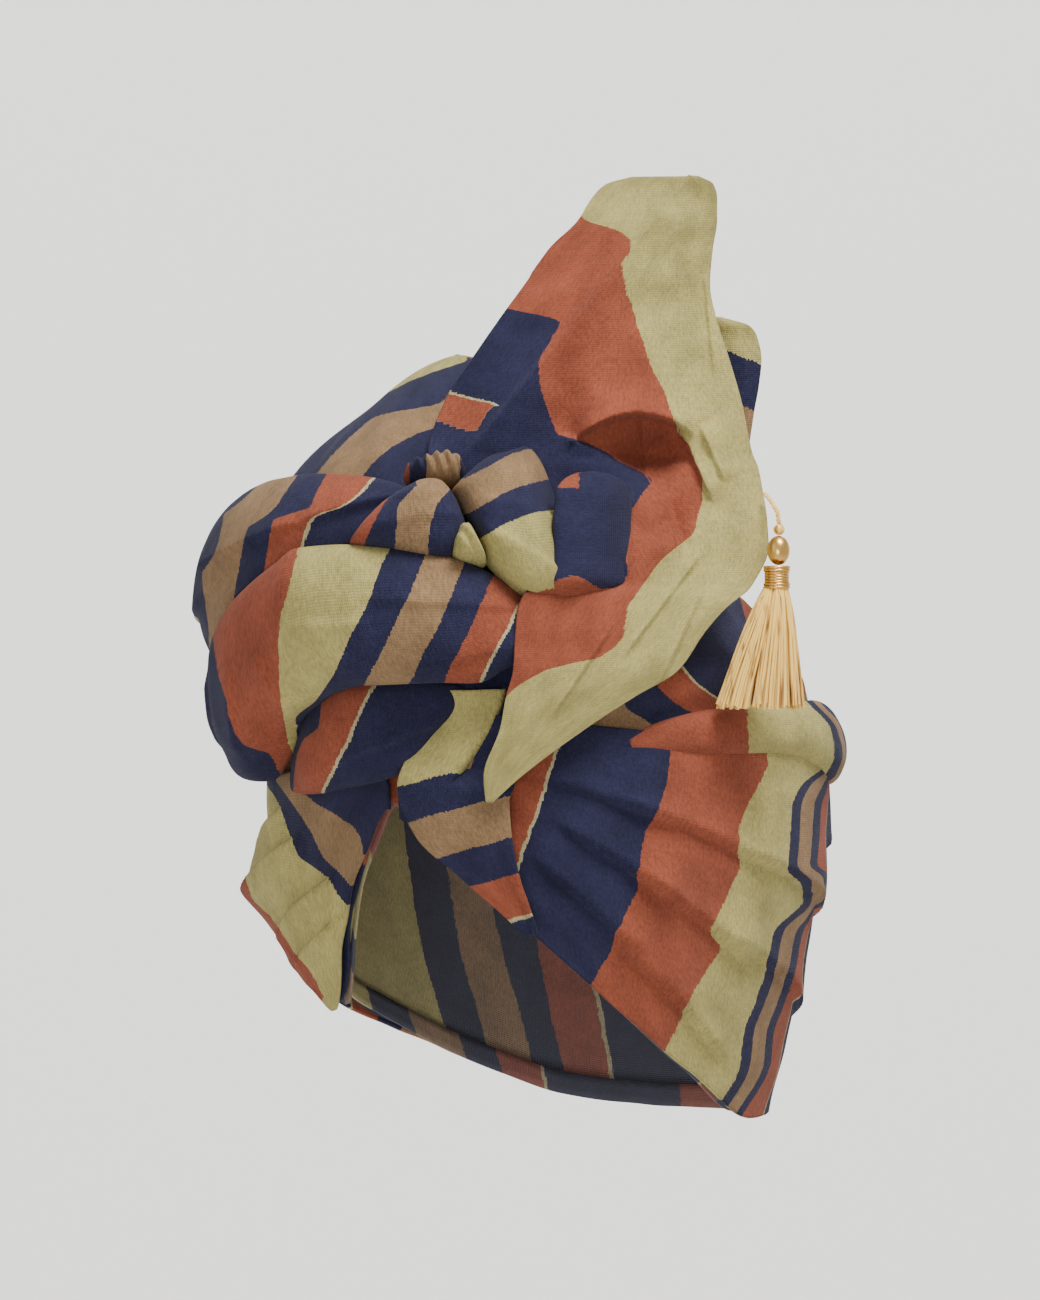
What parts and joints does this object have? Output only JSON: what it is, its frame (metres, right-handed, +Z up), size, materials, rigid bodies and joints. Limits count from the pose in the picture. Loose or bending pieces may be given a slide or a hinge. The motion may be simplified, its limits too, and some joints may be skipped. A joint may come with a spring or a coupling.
{
  "type": "head wrap turban",
  "caption": "Pleated striped cloth turban for a head, with folded rolls, a tight front knot, a tall gathered fan and a gold tassel.",
  "frame": {"origin": "inside of the crown's highest point, where the top of the head sits", "axes": "+Z up along the head, -Y the way the wearer faces, +X the wearer's left"},
  "size_m": [0.2351, 0.2519, 0.3377],
  "materials": {
    "striped_cloth": "matt hand-woven cloth in sage, navy, tan and brick red stripes",
    "gold_thread": "silky gold thread",
    "gold_metal": "polished gold-coloured metal"
  },
  "bodies": {
    "root": {"crown": "striped_cloth", "side_wrap_left": "striped_cloth", "side_wrap_right": "striped_cloth", "roll_upper": "striped_cloth", "roll_front": "striped_cloth", "roll_lower": "striped_cloth", "knot_centre": "striped_cloth", "knot_roll": "striped_cloth", "knot_tail": "striped_cloth", "fan": "striped_cloth", "fan_back_fold": "striped_cloth", "tassel_cord": "gold_thread", "tassel_knot": "gold_thread", "tassel_bead": "gold_metal", "tassel_collar": "gold_metal", "tassel_skirt": "gold_thread"}
  },
  "joints": []
}
